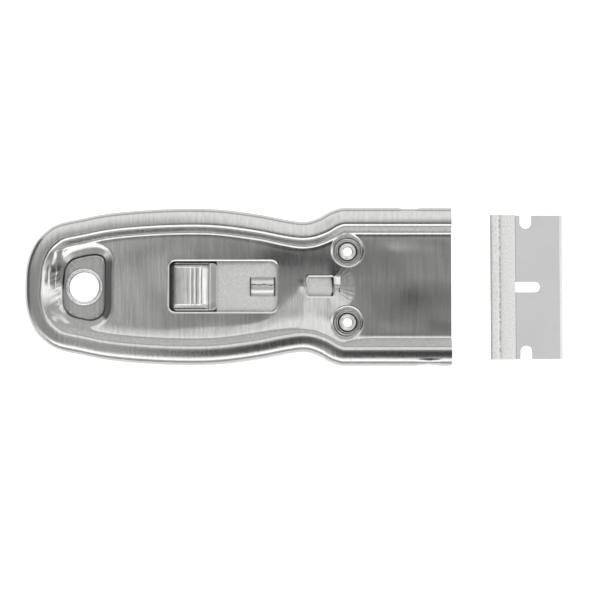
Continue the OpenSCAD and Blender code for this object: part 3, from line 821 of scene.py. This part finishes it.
def thumb_cap():
    """The thumb button, pressed from sheet and open below."""
    guides = closed_loops(grown(BUTTON_LOOP, -e)
                          for e in (0.04, 0.12, 0.22, 0.32, 0.5, 0.7, 0.95, 1.25, 1.6, 2.0))
    guides += lone_points(np.arange(BUTTON_X + 1.2, BUTTON_X + BUTTON_L - 1, 0.135), np.arange(-5.2, 5.21, 0.3))
    flat, faces = triangles(BUTTON_LOOP, guides, lambda p: inside(p, BUTTON_LOOP))
    points = np.column_stack([flat, button_height(flat)])
    backs = points - (0, 0, CAP_T)
    backs[:, 2] = np.maximum(backs[:, 2], PLATE_Z[1])
    return closed_sheet("ribbed_thumb_cap", points, face_normals(button_height, flat), faces, backs)


button = thumb_cap()
carrier = softened_copy("blade_carrier_strip", "blade_carrier", 0.08)
spring = softened_copy("bowed_press_spring", "press_spring", 0.03)


# Blade


def blade_outline():
    """The steel's outline, its back inside the spine, with a round-bottomed notch in each end."""
    back, front, half = BLADE_X + SPINE_R, BLADE_X + BLADE_D, BLADE_W / 2
    side = [(back, 0), (back, half), (NOTCH_X - NOTCH_R, half)]
    side += [(NOTCH_X - NOTCH_R * math.cos(a), half - NOTCH_D + NOTCH_R * (1 - math.sin(a)))
             for a in np.linspace(0, math.pi, 13)]
    side += [(NOTCH_X + NOTCH_R, half), (front, half), (front, 0)]
    return np.array(([(x, -y) for x, y in side] + side[::-1])[1:-1])


def blade_slot():
    """The slot ahead of the spine: a round front end and small corners at the rear."""
    x, r, c = BLADE_X + SPINE_D, SLOT_R, SLOT_CORNER_R
    front = [(x + SLOT_L - r + r * math.cos(a), r * math.sin(a))
             for a in np.linspace(-math.pi / 2, math.pi / 2, 13)]
    rear = [(x + c + c * math.cos(a), s * (r - c) + c * math.sin(a))
            for s, low in ((1, 90), (-1, 180)) for a in np.radians(np.linspace(low, low + 90, 5))]
    return np.array(front + rear)


def steel_leaf():
    """The blade's steel, ground to its edge from both faces in two facets."""
    loop, slot = blade_outline(), blade_slot()
    front = BLADE_X + BLADE_D
    across = np.linspace(-BLADE_W / 2, BLADE_W / 2, 60)
    guides = closed_loops([slot]) + open_lines(
        np.column_stack([np.full(len(across), front - back), across]) for back in (GRIND, HONE))
    flat, faces = triangles(loop, guides, lambda p: inside(p, loop) & ~inside(p, slot))
    half = np.interp(front - flat[:, 0], [0, HONE, GRIND], [EDGE_HALF, HONE_HALF, BLADE_T / 2])
    places = [at(x, y, side * z) for side in (1, -1) for (x, y), z in zip(flat, half)]
    piece = from_faces("ground_blade", places, two_sided(faces, len(flat)))
    outward(piece)
    shade_by_angle(piece, 2)
    return piece


def folded_spine():
    """The strip folded round the blade's back: a round bead, a groove and two flat leaves, faintly wavy."""
    bead = [(SPINE_R * (1 - math.cos(a)), SPINE_R * math.sin(a)) for a in np.linspace(0, math.pi / 2, 9)]
    bead += [(1.2, SPINE_R), (1.65, 0.68), (2.0, 0.64)]
    groove = [(2.2, 0.6), (2.35, 0.42), (2.55, 0.42), (2.7, 0.57)]
    leaf = [(3.3, 0.6), (SPINE_D - 0.25, 0.6), (SPINE_D - 0.07, 0.56), (SPINE_D, 0.45)]
    upper, inner = bead + groove + leaf, [(SPINE_D, 0.145), (1.0, 0.145)]
    loop = upper + inner + [(x, -z) for x, z in inner[::-1]] + [(x, -z) for x, z in upper[::-1][:-1]]
    stations = np.linspace(-BLADE_W / 2 - 0.2, BLADE_W / 2 + 0.2, 60)
    count, last = len(loop), len(stations) - 1
    places = []
    for y in stations:
        wave = 0.4 * (0.02 * math.sin(y * 1.3) + 0.015 * math.sin(y * 3.1 + 1))
        places += [at(BLADE_X + x, y, z * (1 + wave) if abs(z) > 0.5 and x > 2.2 else z) for x, z in loop]
    faces = []
    for k in range(last):
        near, far = k * count, (k + 1) * count
        faces += [[near + i, near + (i + 1) % count, far + (i + 1) % count, far + i] for i in range(count)]
    faces += [list(range(count))[::-1], [last * count + i for i in range(count)]]
    piece = from_faces("folded_spine", places, faces)
    outward(piece)
    soften_edges(piece, 0.05, 2, 50)
    return piece


steel = steel_leaf()
spine = folded_spine()

for piece, body, node, slot in (
        (upper_shell, "handle", "upper_shell", "shell_steel"),
        (lower_shell, "handle", "lower_shell", "shell_steel"),
        (hang_collar, "handle", "hang_hole_collar", "eyelet_steel"),
        (left_eyelet, "handle", "left_neck_eyelet", "eyelet_steel"),
        (right_eyelet, "handle", "right_neck_eyelet", "eyelet_steel"),
        (slide, "thumb_slide", "slide_plate", "slide_steel"),
        (arch, "thumb_slide", "detent_arch", "slide_steel"),
        (button, "thumb_slide", "thumb_button", "button_steel"),
        (carrier, "carrier", "blade_carrier", "slide_steel"),
        (spring, "carrier", "press_spring", "spring_steel"),
        (steel, "blade", "blade_steel", "blade_steel"),
        (spine, "blade", "blade_spine", "spine_metal")):
    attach(piece, body)
    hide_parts(node)
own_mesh(spring)


# Finishes


def arithmetic(tree, kind, *values):
    """One step of arithmetic on outputs or numbers."""
    step = tree.nodes.new("ShaderNodeMath")
    step.operation = kind
    for socket, value in zip(step.inputs, values):
        if isinstance(value, (int, float)):
            socket.default_value = value
        else:
            tree.links.new(value, socket)
    return step.outputs[0]


def spread(tree, value, low, high, out_low, out_high):
    """A value stretched from one span to another."""
    span = tree.nodes.new("ShaderNodeMapRange")
    for key, number in zip(("From Min", "From Max", "To Min", "To Max"), (low, high, out_low, out_high)):
        span.inputs[key].default_value = number
    tree.links.new(value, span.inputs["Value"])
    return span.outputs["Result"]


def coordinate(tree, axis):
    """One coordinate of the place on the object."""
    place = tree.nodes.new("ShaderNodeTexCoord").outputs["Object"]
    split = tree.nodes.new("ShaderNodeSeparateXYZ")
    tree.links.new(place, split.inputs[0])
    return split.outputs[axis]


class Finish:
    """A metal surface built up from brush lines, grain and fine unevenness."""

    def __init__(self, name, colour, roughness):
        self.material = bpy.data.materials.new(name)
        self.material.use_nodes = True
        self.tree = self.material.node_tree
        self.metal = self.tree.nodes["Principled BSDF"]
        self.metal.inputs["Metallic"].default_value = 1
        self.metal.inputs["Base Color"].default_value = (*colour, 1)
        self.metal.inputs["Roughness"].default_value = roughness
        self.place = self.node("ShaderNodeTexCoord").outputs["Object"]
        self.colour, self.last_bump = colour, None

    def node(self, kind):
        return self.tree.nodes.new(kind)

    def link(self, a, b):
        self.tree.links.new(a, b)

    def noise(self, scale, detail=2, roughness=0.5):
        """Noise whose grains have a size of one over the scale along each axis."""
        sized = self.node("ShaderNodeMapping")
        sized.inputs["Scale"].default_value = scale
        self.link(self.place, sized.inputs["Vector"])
        noise = self.node("ShaderNodeTexNoise")
        noise.inputs["Scale"].default_value = 1
        noise.inputs["Detail"].default_value = detail
        noise.inputs["Roughness"].default_value = roughness
        self.link(sized.outputs["Vector"], noise.inputs["Vector"])
        return noise.outputs["Fac"]

    def ramp(self, value, low, high, out_low=0, out_high=1):
        return spread(self.tree, value, low, high, out_low, out_high)

    def calc(self, kind, *values):
        return arithmetic(self.tree, kind, *values)

    def ahead_of(self, x):
        """Distance along the handle from a place given in its millimetres."""
        return self.calc("SUBTRACT", coordinate(self.tree, "X"), at(x, 0, 0).x)

    def left_of(self, y):
        """Distance across the handle from a place given in its millimetres."""
        return self.calc("SUBTRACT", coordinate(self.tree, "Y"), y * MM)

    def axis_distance(self, x, y):
        """Distance from an upright axis at a place given in the handle's millimetres."""
        squares = [self.calc("MULTIPLY", side, side) for side in (self.ahead_of(x), self.left_of(y))]
        return self.calc("SQRT", self.calc("ADD", *squares))

    def band(self, value, low, high, soft):
        """One between two distances in millimetres, nought outside them."""
        rise = self.ramp(value, (low - soft) * MM, low * MM)
        fall = self.ramp(value, high * MM, (high + soft) * MM, 1, 0)
        return self.calc("MINIMUM", rise, fall)

    def tinted(self, mask, plain, masked):
        """Mix two colours by a mask and use the result as the metal's colour."""
        mix = self.node("ShaderNodeMix")
        mix.data_type = "RGBA"
        for key, colour in (("A", plain), ("B", masked)):
            if isinstance(colour, tuple):
                mix.inputs[key].default_value = (*colour, 1)
            else:
                self.link(colour, mix.inputs[key])
        self.link(mask, mix.inputs["Factor"])
        self.tint = mix.outputs["Result"]
        self.link(self.tint, self.metal.inputs["Base Color"])

    def shade(self, value, low, high):
        """Vary the colour between two shares of itself."""
        self.tinted(value, tuple(c * low for c in self.colour), tuple(min(1, c * high) for c in self.colour))

    def darken(self, mask, share):
        """Darken the colour where the mask is one, as in a crevice that light doesn't reach."""
        self.tinted(mask, self.tint, tuple(c * share for c in self.colour))

    def rough(self, value):
        self.link(value, self.metal.inputs["Roughness"])

    def bump(self, value, depth_mm):
        relief = self.node("ShaderNodeBump")
        relief.inputs["Strength"].default_value = 1
        relief.inputs["Distance"].default_value = depth_mm * MM
        self.link(value, relief.inputs["Height"])
        if self.last_bump:
            self.link(self.last_bump, relief.inputs["Normal"])
        self.last_bump = relief.outputs["Normal"]
        self.link(self.last_bump, self.metal.inputs["Normal"])


def brushed_shell_finish():
    finish = Finish("brushed_plating", (0.66, 0.66, 0.65), 0.14)
    fine = finish.noise((4200, 170, 4200), 3, 0.6)
    broad = finish.noise((1500, 60, 1500), 3, 0.6)
    finish.bump(fine, 0.009)
    finish.bump(broad, 0.006)
    finish.rough(finish.ramp(fine, 0.3, 0.7, 0.11, 0.2))
    grit = finish.noise((3000, 2200, 3000), 2, 0.6)
    finish.bump(grit, 0.003)
    finish.shade(finish.ramp(broad, 0.3, 0.7), 0.92, 1.05)
    # Painted shade: a dark ring in the crevice where each neck eyelet's rolled lip meets its dimple.
    for side in (-1, 1):
        finish.darken(finish.band(finish.axis_distance(EYELET_X, side * EYELET_Y), 2.2, 2.6, 0.12), 0.16)
    # Painted shade: a ring just outside the hang collar's rolled lip.
    finish.darken(finish.band(finish.axis_distance(HANG_X, 0), 4.8, 5.0, 0.1), 0.5)
    # Painted dark reflection: dark arcs on the tail's wall.
    finish.darken(painted_tail_streaks(finish), 0.3)
    # Painted shade in the small step round the well's floor, from the crevice mark.
    crevice = finish.node("ShaderNodeAttribute")
    crevice.attribute_name = "crevice"
    finish.darken(crevice.outputs["Fac"], 0.17)
    return finish.material


def painted_tail_streaks(finish):
    """Painted dark reflection: dark arcs on the left of the tail's wall, round the well."""
    wander = finish.ramp(finish.noise((700, 160, 700), 2), 0.3, 0.7, -0.35 * MM, 0.35 * MM)
    r = finish.calc("ADD", finish.axis_distance(26, 1.5), wander)
    lines = finish.calc("MAXIMUM", finish.band(r, 19.6, 19.75, 0.25), finish.band(r, 18.2, 18.3, 0.25))
    dark_band = finish.calc("MULTIPLY", finish.band(r, 16.1, 20.4, 0.4), finish.calc("SUBTRACT", 1, lines))
    reach = finish.calc("ADD", finish.left_of(0), finish.calc("MULTIPLY", wander, 2.5))
    left_end = finish.calc("MULTIPLY", dark_band, finish.band(reach, 0.9, 4.6, 1.6))
    return finish.calc("MULTIPLY", left_end, finish.ramp(finish.ahead_of(11), MM, 0))


def rolled_finish():
    finish = Finish("bright_rolled_steel", (0.92, 0.92, 0.91), 0.3)
    finish.bump(finish.noise((1100, 1100, 1100), 3), 0.03)
    finish.rough(finish.ramp(finish.noise((2500, 2500, 2500)), 0.3, 0.7, 0.24, 0.42))
    finish.shade(finish.ramp(finish.noise((900, 900, 900), 3), 0.35, 0.6), 0.8, 1.06)
    # Painted shade inside the bores of the neck eyelets and the hang collar.
    for side in (-1, 1):
        bore = finish.axis_distance(EYELET_X, side * EYELET_Y)
        finish.darken(finish.band(bore, 0, EYELET_R + 0.06, 0.1), 0.35)
    finish.darken(finish.band(finish.axis_distance(HANG_X, 0), 0, HANG_R + 0.08, 0.1), 0.3)
    return finish.material


def slide_finish():
    finish = Finish("matte_slide_steel", (0.79, 0.79, 0.78), 0.6)
    grain = finish.noise((4200, 4200, 4200), 3, 0.7)
    finish.bump(grain, 0.03)
    finish.rough(finish.ramp(grain, 0.3, 0.7, 0.52, 0.66))
    finish.shade(finish.ramp(grain, 0.38, 0.62), 0.84, 1.1)
    # Painted shade: a dark band on the plate close round the thumb button's rear and sides.
    behind = finish.calc("MULTIPLY", finish.ahead_of(BUTTON_X), -1)
    aside = finish.calc("SUBTRACT", finish.calc("ABSOLUTE", finish.left_of(0)), BUTTON_W / 2 * MM)
    gap = finish.band(finish.calc("MAXIMUM", behind, aside), -2, 0.5, 0.15)
    until = finish.ramp(finish.ahead_of(BUTTON_X + BUTTON_L), -0.3 * MM, 0, 1, 0)
    finish.darken(finish.calc("MULTIPLY", gap, until), 0.1)
    return finish.material


def bridge_finish():
    finish = Finish("bent_bridge_steel", (0.74, 0.74, 0.73), 0.36)
    grain = finish.noise((2600, 2600, 2600), 3, 0.7)
    finish.bump(grain, 0.02)
    finish.rough(finish.ramp(grain, 0.3, 0.7, 0.3, 0.44))
    finish.shade(finish.ramp(grain, 0.3, 0.7), 0.92, 1.1)
    # Painted shade along the bridge's crease.
    wander = finish.ramp(finish.noise((900, 1, 1), 3), 0.2, 0.8, -0.35 * MM, 0.35 * MM)
    off = finish.calc("SUBTRACT", finish.left_of(0.45), wander)
    finish.darken(finish.band(finish.calc("ABSOLUTE", off), -1, 0.07, 0.1), 0.2)
    return finish.material


def button_finish():
    finish = Finish("burnished_button_steel", (0.92, 0.92, 0.91), 0.34)
    wear = finish.noise((260, 1500, 700), 3, 0.6)
    finish.bump(wear, 0.014)
    finish.rough(finish.ramp(wear, 0.3, 0.7, 0.27, 0.4))
    finish.shade(finish.ramp(finish.noise((2400, 300, 300), 3), 0.35, 0.65), 0.88, 1.06)
    # Painted shade: the low flange at the button's front darker, with a darker line where the front slope meets
    # it.
    along = finish.ahead_of(BUTTON_X)
    finish.darken(finish.band(along, 9.95, 20, 0.2), 0.66)
    finish.darken(finish.band(along, 9.8, 10.0, 0.12), 0.4)
    return finish.material


def spring_finish():
    finish = Finish("plain_spring_steel", (0.4, 0.4, 0.42), 0.35)
    finish.rough(finish.ramp(finish.noise((900, 3000, 900)), 0.3, 0.7, 0.28, 0.42))
    return finish.material


def blade_finish():
    finish = Finish("satin_blade_steel", (0.76, 0.76, 0.76), 0.55)
    grain = finish.noise((5200, 2600, 2600), 3, 0.7)
    finish.bump(grain, 0.006)
    finish.rough(finish.ramp(grain, 0.3, 0.7, 0.5, 0.6))
    finish.shade(finish.ramp(finish.noise((60, 60, 60), 3), 0.3, 0.7), 0.97, 1.03)
    # Painted shade: a dark line on the blade along the front of the spine's leaves.
    finish.darken(finish.band(finish.ahead_of(BLADE_X + SPINE_D), -0.1, 0.15, 0.15), 0.7)
    return finish.material


def honed_finish():
    finish = Finish("honed_blade_edge", (0.86, 0.86, 0.86), 0.12)
    finish.rough(finish.ramp(finish.noise((400, 6000, 400)), 0.3, 0.7, 0.08, 0.2))
    return finish.material


def spine_finish():
    finish = Finish("dull_spine_metal", (0.89, 0.89, 0.88), 0.55)
    speckle = finish.noise((2600, 2200, 2600), 3, 0.7)
    finish.bump(speckle, 0.02)
    finish.rough(finish.ramp(speckle, 0.3, 0.7, 0.48, 0.62))
    finish.shade(finish.ramp(speckle, 0.3, 0.55), 0.86, 1.08)
    # Painted shade in the spine's groove, broken into spots.
    spots = finish.ramp(finish.noise((600, 1900, 600), 3, 0.7), 0.45, 0.55)
    groove = finish.band(finish.ahead_of(BLADE_X), 2.35, 2.6, 0.12)
    finish.darken(finish.calc("MULTIPLY", groove, spots), 0.66)
    return finish.material


def dress(material, *pieces):
    for piece in pieces:
        piece.data.materials.clear()
        piece.data.materials.append(material)


dress(brushed_shell_finish(), upper_shell, lower_shell)
dress(rolled_finish(), hang_collar, left_eyelet, right_eyelet)
dress(slide_finish(), slide, carrier)
dress(bridge_finish(), arch)
dress(button_finish(), button)
dress(spring_finish(), spring)
dress(blade_finish(), steel)
dress(spine_finish(), spine)
steel.data.materials.append(honed_finish())
for face in steel.data.polygons:
    if face.center.x > (BLADE_X + BLADE_D - HONE - WHOLE_L / 2) * MM:
        face.material_index = 1


# Stage, camera and light


CEILING_H, ROOM_D = 0.9, 0.6


def camera():
    """Straight above, four degrees towards the near side, with the whole object in view."""
    lens = bpy.data.cameras.new("photo_camera")
    lens.type = "PERSP"
    lens.sensor_width = 36
    lens.lens = 120
    view = bpy.data.objects.new("photo_camera", lens)
    bpy.context.scene.collection.objects.link(view)
    tilt = math.radians(86)
    back = Vector((0, -math.cos(tilt), math.sin(tilt)))
    span = 158.7 * MM
    aim = Vector((1.455 * MM, -3.41 * MM, CREST_Z * MM))
    view.location = aim + back * span * lens.lens / lens.sensor_width
    view.rotation_mode = "QUATERNION"
    view.rotation_quaternion = (-back).to_track_quat("-Z", "Y")
    bpy.context.scene.camera = view


def reflected_card(name, corners, strength, fade=None):
    """A card that only the metal sees; its brightness may change along X or Y, over a span, to a last one."""
    card = from_faces(name, [Vector(c) for c in corners], [[0, 1, 2, 3]])
    glow = bpy.data.materials.new(name)
    glow.use_nodes = True
    tree = glow.node_tree
    tree.nodes.clear()
    light = tree.nodes.new("ShaderNodeEmission")
    light.inputs["Color"].default_value = (1, 1, 1, 1)
    light.inputs["Strength"].default_value = strength
    if fade:
        axis, span, last = fade
        changing = spread(tree, coordinate(tree, axis), *span, strength, last)
        tree.links.new(changing, light.inputs["Strength"])
    out = tree.nodes.new("ShaderNodeOutputMaterial")
    tree.links.new(light.outputs[0], out.inputs["Surface"])
    card.data.materials.append(glow)
    card.visible_camera = False
    card.visible_diffuse = False
    card.visible_shadow = False


def oblong(across, up):
    """The corners of a rectangle between two places each way."""
    (a, b), (low, high) = across, up
    return [(a, low), (b, low), (b, high), (a, high)]


def overhead(name, low, high, reach, strength, fade=None):
    """A card overhead between two angles from straight up, towards the handle's left."""
    edges = [CEILING_H * math.tan(math.radians(angle)) for angle in (low, high)]
    reflected_card(name, [(x, y, CEILING_H) for x, y in oblong(reach, edges)], strength, fade)


def side_wall(name, y, along, up, strength):
    """An upright card beside the object."""
    reflected_card(name, [(x, y, z) for x, z in oblong(along, up)], strength)


def end_wall(name, x, across, up, strength, fade=None):
    """An upright card beyond the tail or the blade."""
    reflected_card(name, [(x, y, z) for y, z in oblong(across, up)], strength, fade)


def floor():
    """White paper that catches the shadow and shows white to the camera."""
    bpy.ops.mesh.primitive_plane_add(size=6)
    ground = bpy.context.object
    ground.name = "studio_floor"
    paper = bpy.data.materials.new("white_paper")
    paper.use_nodes = True
    tree = paper.node_tree
    matte = tree.nodes["Principled BSDF"]
    matte.inputs["Base Color"].default_value = (0.8, 0.8, 0.8, 1)
    matte.inputs["Roughness"].default_value = 1
    matte.inputs["Specular IOR Level"].default_value = 0
    rays = tree.nodes.new("ShaderNodeLightPath").outputs
    seen = arithmetic(tree, "MAXIMUM", rays["Is Camera Ray"], rays["Is Transmission Ray"])
    shown = arithmetic(tree, "MULTIPLY", seen, 0.85)
    lift = arithmetic(tree, "MULTIPLY_ADD", rays["Is Glossy Ray"], 0.4, shown)
    matte.inputs["Emission Color"].default_value = (1, 1, 1, 1)
    tree.links.new(lift, matte.inputs["Emission Strength"])
    below = tree.nodes.new("ShaderNodeNewGeometry")
    clear = tree.nodes.new("ShaderNodeBsdfTransparent")
    mix = tree.nodes.new("ShaderNodeMixShader")
    tree.links.new(below.outputs["Backfacing"], mix.inputs[0])
    tree.links.new(matte.outputs[0], mix.inputs[1])
    tree.links.new(clear.outputs[0], mix.inputs[2])
    tree.links.new(mix.outputs[0], tree.nodes["Material Output"].inputs["Surface"])
    ground.data.materials.append(paper)


def studio_world():
    """Even white light, a little stronger where the camera or the metal sees it."""
    world = bpy.data.worlds.new("studio")
    bpy.context.scene.world = world
    world.use_nodes = True
    tree = world.node_tree
    air = tree.nodes["Background"]
    air.inputs["Color"].default_value = (1, 1, 1, 1)
    rays = tree.nodes.new("ShaderNodeLightPath").outputs
    seen = arithmetic(tree, "MAXIMUM", rays["Is Camera Ray"], rays["Is Transmission Ray"])
    shown = arithmetic(tree, "MAXIMUM", seen, rays["Is Glossy Ray"])
    tree.links.new(spread(tree, shown, 0, 1, 0.75, 1.0), air.inputs["Strength"])


camera()
floor()
studio_world()
overhead("tail_grey_ceiling", -20, 9, (-0.7, -0.17), 0.36)
overhead("tail_pale_ceiling", -20, 9, (-0.17, -0.132), 0.9)
overhead("dark_ceiling", -20, -3, (-0.132, 0.34), 0.16, ("X", (-0.12, 0.06), 0.05))
overhead("soft_ceiling", -3, 9, (-0.132, 0.05), 0.38, ("X", (-0.12, 0.05), 0.22))
overhead("mouth_ceiling", -3, 9, (0.05, 0.34), 0.2, ("Y", (-0.047, 0.143), 0.4))
overhead("front_strip", -52, -22.5, (-0.8, 0.8), 1.6)
overhead("far_tail_panel", 9, 27, (-0.8, -0.07), 0.42, ("Y", (0.143, 0.4), 0.95))
overhead("far_neck_panel", 8, 27, (-0.07, 0.05), 1.05)
overhead("far_mouth_panel", 9, 27, (0.05, 0.8), 0.4, ("Y", (0.143, 0.3), 1.1))
overhead("far_bright_panel", 27, 57, (-0.8, 0.8), 1.08)
side_wall("near_black_foot", -ROOM_D, (-0.8, 0.6), (-0.02, 0.08), 0.05)
side_wall("near_pale_band", -ROOM_D, (-0.8, 0.8), (0.08, 0.15), 0.95)
side_wall("near_grey_band", -ROOM_D, (-0.8, 0.8), (0.15, 0.36), 0.4)
reflected_card("near_floor_flag", [(x, y, 0.001) for x, y in oblong((-0.6, 0.3), (-0.58, -0.12))], 0.06)
side_wall("far_low_side", ROOM_D, (-0.8, 0.8), (0, 0.1), 0.74)
side_wall("far_grey_side", ROOM_D, (-0.8, 0.8), (0.1, 0.39), 0.56)
end_wall("tail_low_side", -ROOM_D, (-0.5, 0.5), (0.01, 0.6), 0.9, ("Y", (-0.3, 0), 0.13))
end_wall("tail_high_side", -ROOM_D, (-0.5, 0.5), (0.6, 0.9), 0.9, ("Y", (-0.3, 0), 0.3))
end_wall("blade_bright_side", ROOM_D, (-0.03, 0.08), (0.03, 1.0), 1.4)
end_wall("blade_left_side", ROOM_D, (0.08, 0.5), (0.03, 0.7), 1.2, ("Y", (0.08, 0.28), 0.5))
end_wall("blade_right_side", ROOM_D, (-0.5, -0.03), (0.03, 0.7), 0.35, ("Y", (-0.26, -0.03), 1.1))

bpy.context.scene.view_settings.view_transform = "Standard"
